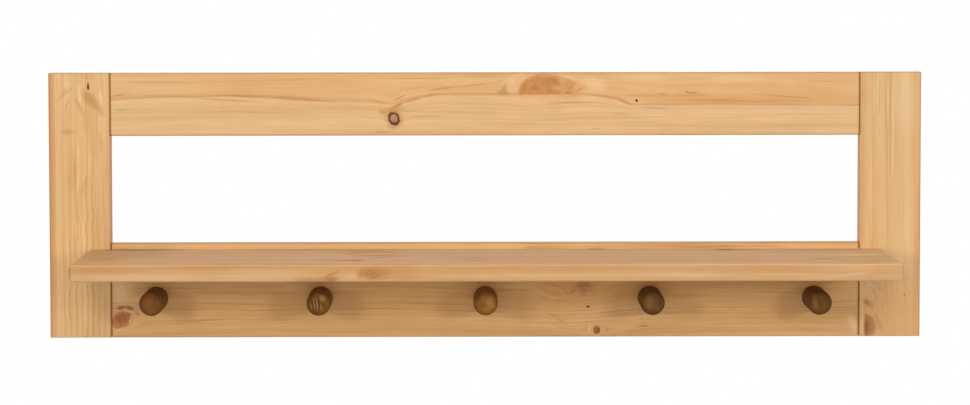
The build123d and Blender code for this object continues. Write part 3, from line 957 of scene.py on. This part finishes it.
# %% The peg rail
peg_low, peg_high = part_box("peg_rail")
peg_rail_board = {
    "lies": "XZY", "middle": (0.0, (peg_low.z + peg_high.z) / 2, front), "seed": 8, "in_frame": True,
    "pith": (46.0, 62.0), "ring_width": 2.5, "heart_edge": (-90.0, 0.0), "drift": 2.5, "roll": 2.5,
    "wobble": 0.8, "bands": 0.5, "contrast": 0.95, "heart_lines": 1.0, "border": 0.0,
    "tone": (0.93, 0.90, 0.825),
    "knots": [
        {
            "kind": "live", "at": (-417.5, -34.0), "size": (12.8, 9.8), "turn": 34, "push": 0.9, "lift": 6.0,
            "grain": 7.0,
            "look": {
                "heart": paint(192, 130, 76), "deep": paint(152, 88, 46), "core": 0.45, "halo_weight": 0.2,
            },
        },
        {"kind": "bend", "at": (112.0, 4.0), "size": (7.0, 7.0), "push": 0.6, "lift": 1.0},
        {"kind": "bend", "at": (88.0, 2.0), "size": (11.0, 11.0), "push": 1.2, "lift": 9.0},
        {
            "kind": "pin", "at": (118.2, -19.4), "size": (2.4, 1.3), "push": 1.6,
            "look": {"heart": paint(134, 86, 46), "deep": paint(100, 60, 30)},
        },
        {
            "kind": "live", "at": (127.6, -46.4), "size": (4.0, 5.4), "push": 1.3, "lift": 5.0,
            "look": {"heart": paint(182, 128, 74), "deep": paint(126, 76, 38), "core": 0.35},
        },
    ],
    "strokes": {
        # The first cream stroke, near the left joint, is pale wood with painted light from the left lamp on
        # it.
        "cream": [
            (-420, 3, -418, -12, 7, 0.35), (121, -40, 119.5, -50, 1.2, 0.4),
            (-411, -41, -427, -47.5, 1.2, 0.4),
            (-418, -23.6, -405, -24.8, 0.9, 0.45), (-405, -26, -410, -40, 1.1, 0.45),
            (420, -30, 427, -48, 5, 0.4),
        ],
        "rose": [(-402, -37, -384, -38, 3, 0.4), (134, -50, 136, -53, 2.2, 0.6)],
        "olive": [(-402, 3, -398, -5, 6, 0.35), (80, -33, 87, -37, 1.1, 0.35), (70, -38, 95, -43, 1.1, 0.3)],
        "rust": [
            (60, 4, 75, -3, 1.0, 0.5), (75, -3, 92, -5, 1.0, 0.5), (92, -5, 104, 0, 1.0, 0.5),
            (58, -6, 77, -12, 1.0, 0.45), (77, -12, 97, -12.5, 1.0, 0.45), (66, -25, 86, -32, 1.0, 0.45),
            (100, 4, 124, 0, 9, 0.25), (-402, 3.4, -330, 2.4, 1.5, 0.4), (-345, -2.4, -210, -1.4, 1.4, 0.4),
            (-300, 4.4, -215, 4.0, 1.2, 0.35), (-200, -3, -120, -2, 1.4, 0.3), (60, -1, 0, 1, 1.2, 0.3),
            (76, 6.4, 86, 3.6, 1.0, 0.55), (86, 3.6, 94, -4, 1.0, 0.5), (84, -33, 95, -41, 0.9, 0.4),
        ],
        "fleck": [
            (-423, -20.8, -414, -18.6, 2.1, 0.95), (-414, -18.6, -404, -21.4, 2.1, 0.95),
            (-401, -25, -399, -30, 1.5, 0.45),
            (-372, -39.5, -290, -31.5, 0.8, 0.3), (104, 5, 121, 5, 3.4, 0.5), (106, -1, 120, -1, 1.8, 0.45),
            (109, -5.4, 117, -5.4, 1.2, 0.4), (175, -42, 188, -42, 1.0, 0.6), (122, -42, 121, -50, 0.6, 0.4),
        ],
        "bark": [(130.6, -43, 130.6, -50, 1.5, 0.7), (-417, -28, -414, -28.6, 1.0, 0.5)],
    },
}
dress("peg_rail", pine("peg_rail_pine", peg_rail_board))

# %% [markdown]
# ## The left post
# Its grain is wavy, the more so towards the foot, below a small teardrop knot and the olive swirl beside it.
# A rosy stripe of heartwood runs down its outer edge, and a fainter one down its inner edge.

# %% The left post
left_low, left_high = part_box("left_post")
left_post_board = {
    "lies": "ZXY", "middle": ((left_low.z + left_high.z) / 2, (left_low.x + left_high.x) / 2, front),
    "seed": 5, "in_frame": True, "pith": (-92.0, 30.0), "ring_width": 5.0, "heart_edge": (-39.0, 0.0),
    "drift": 3.0, "roll": 2.0, "wobble": 2.7, "wobble_size": (21, 34, 30), "wavy_side": -14.0,
    "wavy_foot": 30.0, "ripples": (6.4, 0.28), "bands": 0.35, "band_size": (60, 6, 8), "contrast": 0.42,
    "border": 0.0, "tone": (1.0, 0.955, 0.88),
    "timber": {**timber, "summer": paint(184, 130, 72)},
    "knots": [
        {
            "kind": "pin", "at": (136.5, 10.4), "size": (3.6, 1.5), "push": 1.2,
            "look": {"deep": paint(98, 58, 28)},
        },
        {"kind": "bend", "at": (120.0, 14.0), "size": (7.0, 7.0), "push": 0.4, "lift": 1.0},
    ],
    "strokes": {
        "rose": [
            (300, -34.0, -300, -33.7, 3.6, 0.9), (130, 34, -80, 35, 3.2, 0.5), (150, 0, 146, 20, 3, 0.3),
            (114, 8, 84, 9, 4.5, 0.3),
        ],
        "rust": [(300, -29.5, -300, -29.0, 1.6, 0.35), (300, -33.6, -300, -33.2, 2.0, 0.4)],
        "cream": [
            (140, -1, 112, 2, 1.6, 0.45), (136, 24, 112, 26, 1.6, 0.4), (148, -16, 128, -12, 2.4, 0.3),
            (80, -2, 40, -1, 1.0, 0.45), (44, -0.5, 8, -4, 1.0, 0.45), (64, 12, 26, 9, 1.4, 0.3),
            (-38, -14.8, -66, -13.0, 0.7, 0.6), (-94, -14.8, -114, -16.2, 0.7, 0.6),
            (-112, -16.2, -131, -14.8, 0.7, 0.55),
            (-14, -4.6, -40, -5.6, 0.7, 0.5), (-6, 2.4, -52, 3.2, 0.9, 0.5),
        ],
        "olive": [
            (130, 6, 113, 20, 5.2, 0.75), (116, 19, 103, 28, 3.2, 0.4), (124, -5, 104, 5, 2.2, 0.45),
            (131, -16, 120, -24, 0.9, 0.4), (137, -13, 127, -22, 0.9, 0.4), (122, -12, 108, -17, 0.9, 0.35),
            (125, -21, 137, -6, 1.6, 0.35), (85, -21, 84.5, -7, 2.8, 0.5), (63, -6, 17, -5.2, 1.2, 0.5),
            (40, 10, 11, 1, 1.5, 0.35), (88, 22, 60, 26, 2.0, 0.25), (-36, -13.2, -64, -11.4, 0.7, 0.55),
            (-94, -13.2, -114, -14.6, 0.7, 0.55), (-112, -14.6, -131, -13.2, 0.7, 0.5),
            (-14, -6.4, -66, -6.8, 0.7, 0.5),
        ],
        "bark": [(133.5, 11, 136, 10.6, 1.5, 0.5), (138, 10.4, 142.5, 10.4, 0.7, 0.7)],
    },
}
dress("left_post", pine("left_post_pine", left_post_board))

# %% [markdown]
# ## The right post
# This one is straight and fine, and glued up with a narrow strip on its inner edge that cuts a knot in half.
# It has its stripe of heartwood on the outer edge too.

# %% The right post
right_low, right_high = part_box("right_post")
right_post_board = {
    "lies": "ZXY", "middle": ((right_low.z + right_high.z) / 2, (right_low.x + right_high.x) / 2, front),
    "seed": 11, "in_frame": True, "glue_lines": [(-28.3, 371.0, 9.0)], "pith": (94.0, 46.0), "ring_width": 3.3,
    "heart_edge": (35.0, 0.0), "drift": 1.8, "roll": 2.0, "wobble": 1.0, "bands": 0.6, "contrast": 0.26,
    "border": 0.2, "tone": (0.965, 0.94, 0.895),
    "knots": [
        {
            "kind": "live", "at": (-140.0, -28.3), "size": (14.0, 13.6), "push": 0.9, "lift": 8.0,
            "above": -28.3, "grain": 8.0, "look": {"heart": paint(182, 112, 60), "deep": paint(126, 62, 30)},
        },
    ],
    "strokes": {
        "rose": [
            (-220, 34.4, 60, 34.4, 4.4, 0.7), (84, -32, -70, -32, 4, 0.35), (150, -29, 104, -29, 4, 0.3),
        ],
        "cream": [
            (160, 18, 80, 18, 11, 0.25), (156, -19, 96, -19, 1.1, 0.35), (156, -15, 100, -15, 0.9, 0.35),
            (152, -3, 90, -3, 1.0, 0.35), (-90, -32, -150, -32, 2.4, 0.3), (152, 3, 10, 3, 0.9, 0.3),
            (70, -22, -20, -22, 1.0, 0.35), (-90, -26.5, -96, -15, 1.2, 0.5), (-96, -15, -110, -6, 1.2, 0.5),
            (-110, -6, -124, -3.5, 1.1, 0.4), (-125, -17, -142, -12.5, 1.2, 0.6),
            (-142, -12.5, -154, -13, 1.2, 0.5),
        ],
        "olive": [
            (160, 0.3, 2, 0.3, 0.6, 0.5), (150, 5.6, 10, 5.6, 0.6, 0.3), (140, -5.4, 60, -5.4, 0.6, 0.3),
            (140, -12.7, 100, -12.7, 0.6, 0.25), (-88, -16, -105, -8, 1.0, 0.5),
            (-105, -8, -118, -6, 1.0, 0.45),
            (-75, 20, -95, 17, 1.1, 0.3), (-111, 17, -132, 14, 1.1, 0.3), (-142, 14.5, -146, 15, 1.4, 0.4),
        ],
        # This broad band stroke is painted shade over the post's foot, below the shelf.
        "band": [(-200, 6, -90, 6, 38, 0.55)],
        "rust": [(-109, -28, -118, -19, 3.6, 0.55), (-124, -17.6, -146, -8.3, 2.6, 0.5)],
        "fleck": [(-103, 17.6, -106, 17.2, 1.1, 0.6), (-111, -28, -115, -25, 2.0, 0.6)],
        "bark": [(-131, -26.5, -152, -26.5, 2.5, 0.35)],
    },
}
dress("right_post", pine("right_post_pine", right_post_board))

# %% [markdown]
# ## The shelf
# A board this deep is glued up from three strips. Its front edge shows heartwood over sapwood at the left and
# the fan of a knot, and dark patches lie on its top. The top is seen so flat that a streak must be broad to
# show at all. Its upper edges carry a painted highlight, its front painted shade and its top painted light,
# and a few strokes paint shade, shadow and highlights on it as well.

# %% The shelf
fan_foot = (-137.0, -13.0)
fan_turn = 100
fan_turn_step = 10
fan_reaches = ((6, 0.8), (19, 1))
fan_line_width = 0.6
fan_line_weight = 0.55


def fan_lines(count):
    """The strokes of a fan of grain on the shelf's front edge, spread from one foot below it."""
    lines = []
    for number in range(count):
        turn = math.radians(fan_turn - fan_turn_step * number)
        ends = []
        for reach, growth in fan_reaches:
            distance = reach + growth * number
            ends += [fan_foot[0] + distance * math.cos(turn), fan_foot[1] + distance * math.sin(turn)]
        lines.append((*ends, fan_line_width, fan_line_weight))
    return lines


shelf_low, shelf_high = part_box("shelf")
shelf_board = {
    "lies": "XYZ", "middle": (0.0, shelf_low.y, (shelf_low.z + shelf_high.z) / 2), "seed": 14,
    "glue_lines": [(80.0, 611.0, 47.0), (151.0, 397.0, -61.0)], "pith": (30.0, 34.0), "ring_width": 3.1,
    "heart_edge": (0.0, 3.5), "drift": 2.0, "roll": 1.5, "wobble": 0.5, "bands": 0.4, "contrast": 0.32,
    # The upper-edge value is a painted highlight, and the front and top values are painted shade and painted
    # light.
    "border": 0.2, "sheen": 0.08, "matt": 0.56, "upper_edge_or_painted_highlight": (1.10, 1.13, 1.18),
    "end_soak": (0.90, 0.86, 0.78), "painted_front_shade": (0.815, 0.75, 0.735), "painted_top_light": (1.13, 1.07, 1.10),
    "timber": {**timber, "heart": (paint(230, 187, 134), paint(222, 175, 118))},
    "knots": [],
    "strokes": {
        "band": [(340, 198, 440, 198, 18, 0.6)],
        # The first two cream strokes, at the right end of the top, are painted highlights of the sheen there.
        "cream": [(390, 122, 445, 130, 14, 0.65), (434, 18, 454, 14, 9, 0.6), (-170, 120, -140, 125, 8, 0.3)],
        "rust": [
            (-162, 186, -96, 180, 10, 0.55), (-150, 120, -96, 140, 9, 0.5), (-170, 62, -136, 66, 8, 0.55),
        ],
        # The first, broad olive stroke darkens the top's left end with painted shade.
        "olive": [
            (-440, 150, -395, 150, 60, 0.45), (-188, 185, -96, 195, 8, 0.5), (-135, 85, -95, 120, 7, 0.45),
            (-40, 100, 8, 95, 10, 0.3), (-30, 62, 12, 60, 8, 0.3), (358, 72, 392, 72, 6, 0.65),
        ],
        "fleck": [(-160, 152, -140, 155, 6, 0.5), (-150, 62, -138, 60, 6, 0.6), (255, 200, 325, 205, 9, 0.45)],
        # The two long bark strokes along the back edge are painted shadow where the shelf meets the rail.
        "bark": [
            (-454, 216, -340, 216, 11, 0.75), (-340, 216, -30, 216, 8, 0.35), (-446, 82, -405, 82, 5, 0.3),
            (268, 205, 282, 205, 8, 0.5), (120, 214, 136, 214, 8, 0.5),
        ],
    },
    "edge_strokes": {
        "rust": [
            (-470, 3.5, -360, 4.0, 2.6, 0.3), (-380, 5.5, -230, 7.5, 1.7, 0.3), (-134, -1, -106, 1, 6.5, 0.6),
            (-216, -8, -158, -6.5, 2.4, 0.5), (-104, 0, -78, 0, 8, 0.25), (-181, -6.5, -157, 3.8, 1.5, 0.6),
        ],
        "band": [(-60, 5, 200, 5, 3.5, 0.5), (200, 5, 400, 4, 3.5, 0.4)],
        "cream": [
            (-440, -4.5, -300, -3.5, 4, 0.35), (-300, -1, -190, 0, 4.5, 0.35), (160, -2, 270, -2.5, 2, 0.45),
            (378, -4.5, 422, 1, 1.3, 0.4), (345, -5, 400, -3, 1.2, 0.3), (-154, 1, -143, -3, 4.5, 0.3),
        ],
        "rose": [(-156, 3, -144, 4, 4, 0.3)],
        # These olive strokes are painted shade on the rounded left corner and along the lower edge at the
        # left.
        "olive": [(-452.8, -8, -452.8, 8, 1.4, 0.6), (-450, -9, -300, -9, 1.2, 0.3)],
        "fleck": [(-174, -6.5, -162, -6, 2.4, 0.5), *fan_lines(8)],
    },
}
dress("shelf", pine("shelf_pine", shelf_board))

# %% [markdown]
# ## The pegs
# The pegs were turned along the grain, so their fronts are end grain with the rings showing as arcs. They
# drank far more oil than the boards and are darker all over, each in its own way. Their rims and sides are
# darkened further, partly for the oil at the rim and partly as painted shade from the shelf above them.
# Streaks that run the length of a rod show on its front as pale and dark spots, given by how far right and up
# they lie.

# %% The pegs


def rod_timber(light, dark, summer, pale):
    """The colours of one dark-oiled rod."""
    return {
        "heart": (light, dark), "sap": (light, dark), "summer": summer, "band": dark,
        "fleck": summer, "pale": pale,
    }


peg_rods = [
    {
        "pith": (26.0, 12.0), "ring_width": 2.6, "heart_edge": (20.0, 0.0), "contrast": 0.5,
        "timber": rod_timber(paint(142, 95, 50), paint(128, 84, 42), paint(98, 60, 28), paint(146, 96, 52)),
        "face_strokes": {
            "pale": [(-4, 1.5, 1, 2.2, 3.6, 0.6), (-3, -8, 4, -8, 2.4, 0.35)],
            "summer": [(4, 9.5, 9.5, 4, 2.4, 0.45)],
        },
    },
    {
        "pith": (60.0, 6.0), "ring_width": 3.4, "heart_edge": (40.0, 0.0), "contrast": 0.5,
        "timber": rod_timber(paint(152, 108, 56), paint(126, 84, 38), paint(70, 40, 14), paint(196, 152, 96)),
        "face_strokes": {
            "pale": [
                (-9.6, 4, -7.6, -7, 0.6, 0.4), (-6.1, 8, -3.8, -7, 0.7, 0.6), (-2.4, 8, -0.8, -8, 0.7, 0.6),
                (2.8, 7.4, 5.8, 4.4, 2.6, 0.5), (2.8, 0, 3.4, -8, 0.8, 0.45),
            ],
            "summer": [
                (-11.2, 5, -9.6, -5, 1.0, 0.5), (-8.0, 9, -5.5, -8, 0.8, 0.6), (-4.3, 9, -2.3, -7, 0.8, 0.7),
                (-0.6, 9, 1.3, -8, 0.9, 0.7), (4.6, 1.8, 7.4, -5, 2.2, 0.45),
            ],
        },
    },
    {
        "pith": (-10.0, -34.0), "ring_width": 3.0, "heart_edge": (30.0, 0.0), "contrast": 0.35,
        "timber": rod_timber(
            paint(164, 118, 58), paint(150, 104, 47), paint(110, 70, 26), paint(178, 134, 78)
        ),
        "face_strokes": {
            "pale": [(2, 4, 8, -4, 3.8, 0.55), (-3, -7, 5, -8, 2.4, 0.35)],
            "summer": [(-11, 3, -5, 10, 2.2, 0.65), (-5, 10.4, 6, 9.6, 2.0, 0.6)],
        },
    },
    {
        "pith": (-24.0, 20.0), "ring_width": 2.8, "heart_edge": (22.0, 0.0), "contrast": 0.4,
        "timber": rod_timber(paint(130, 94, 52), paint(114, 81, 43), paint(84, 58, 28), paint(136, 98, 58)),
        "face_strokes": {
            "pale": [(-3.4, 4.6, -3.4, -4, 4.4, 0.65)],
            "summer": [(7.6, 6, 8.6, -5, 2.4, 0.55), (-4, -11.4, 6, -11, 1.6, 0.5)],
        },
    },
    {
        "pith": (-6.0, -5.0), "ring_width": 3.0, "heart_edge": (4.0, 0.0), "contrast": 0.6,
        "timber": rod_timber(paint(128, 90, 46), paint(110, 76, 37), paint(80, 54, 25), paint(142, 100, 54)),
        "face_strokes": {
            "pale": [(-5.8, 3.4, -5.0, -5.6, 2.8, 0.6)],
            "summer": [(-1.2, 5, 0.4, -6, 0.9, 0.5), (-10, 6, -9, -4, 1.2, 0.5), (-4, 10.6, 6, 9.6, 1.8, 0.4)],
        },
    },
]
for number, rod in enumerate(peg_rods, start=1):
    name = f"peg_{number}"
    low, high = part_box(name)
    middle = (low + high) / 2
    rod_board = {
        "lies": "YXZ", "middle": (middle.y, middle.x, middle.z), "seed": 20 + number, "drift": 1.0,
        "roll": 1.0, "wobble": 0.3, "bands": 0.4, "knots": [], "end_soak": (1.0, 1.0, 1.0), "square": False,
        # The rim value darkens each peg's rim and side, partly for oil and partly as painted shade from the
        # shelf.
        "sheen": 0.06, "rim_oil_and_shade": (0.72, 0.68, 0.60), "line_size": (90, 40, 40), "heart_lines": 1.0,
        "border": 0.0, "tone": (0.83, 0.80, 0.69), **rod,
    }
    dress(name, pine(f"{name}_pine", rod_board))

# %% [markdown]
# ## Dowels, screws and hangers
# The beech dowels and the steel are hidden once the shelf hangs, but they are finished all the same: beech by
# its short dark flecks, and plated steel by the faint clouds in its zinc.

# %% Dowels, screws and hangers
no_board = {"lies": "XZY", "middle": (0.0, 0.0, 0.0)}
beech_pale, beech_dark, beech_fleck = paint(222, 190, 152), paint(206, 168, 128), paint(168, 122, 84)
beech_cloud_size = (30, 5, 5)
beech_fleck_size = (2.6, 0.45, 0.45)
beech_fleck_contrast = (0.58, 0.72)
beech_fleck_weight = 0.6
beech_roughness = 0.62
plating_size = (2.5, 2.5, 2.5)
plating_contrast = (0.3, 0.7)
plating_roughness = 0.2


def beech(name):
    """Pale beech with its short dark flecks."""
    finish, tree, surface = new_finish(name)
    place = board_place(tree, no_board)
    colour = stain(tree, mottle(tree, place, beech_cloud_size, 2.0), beech_pale, beech_dark)
    flecks = mottle(tree, place, beech_fleck_size)
    flecks = rise(tree, flecks, *beech_fleck_contrast, beech_fleck_weight)
    feed(tree, surface.inputs["Base Color"], stain(tree, flecks, colour, beech_fleck))
    surface.inputs["Roughness"].default_value = beech_roughness
    return finish


def plated_steel(name, colour, tint, roughness):
    """Zinc-plated steel with faint clouds in the plating, which also make it duller here and there."""
    finish, tree, surface = new_finish(name)
    clouds = mottle(tree, board_place(tree, no_board), plating_size, 3.0)
    colour = stain(tree, rise(tree, clouds, *plating_contrast), colour, tint)
    feed(tree, surface.inputs["Base Color"], colour)
    smoothest = roughness - plating_roughness / 2
    feed(tree, surface.inputs["Roughness"], calc(tree, "MULTIPLY_ADD", clouds, plating_roughness, smoothest))
    surface.inputs["Metallic"].default_value = 1.0
    return finish


beech_finish = beech("bare_beech")
for name in nodes:
    if "_dowels" in name:
        dress(name, beech_finish)
yellow_zinc = plated_steel("yellow_zinc", paint(214, 186, 112), paint(196, 172, 128), 0.32)
for name in ("shelf_screws", "peg_screws", "hanger_screws"):
    dress(name, yellow_zinc)
bright_zinc = plated_steel("bright_zinc", paint(206, 208, 210), paint(180, 184, 190), 0.36)
for name in ("left_hanger", "right_hanger"):
    dress(name, bright_zinc)
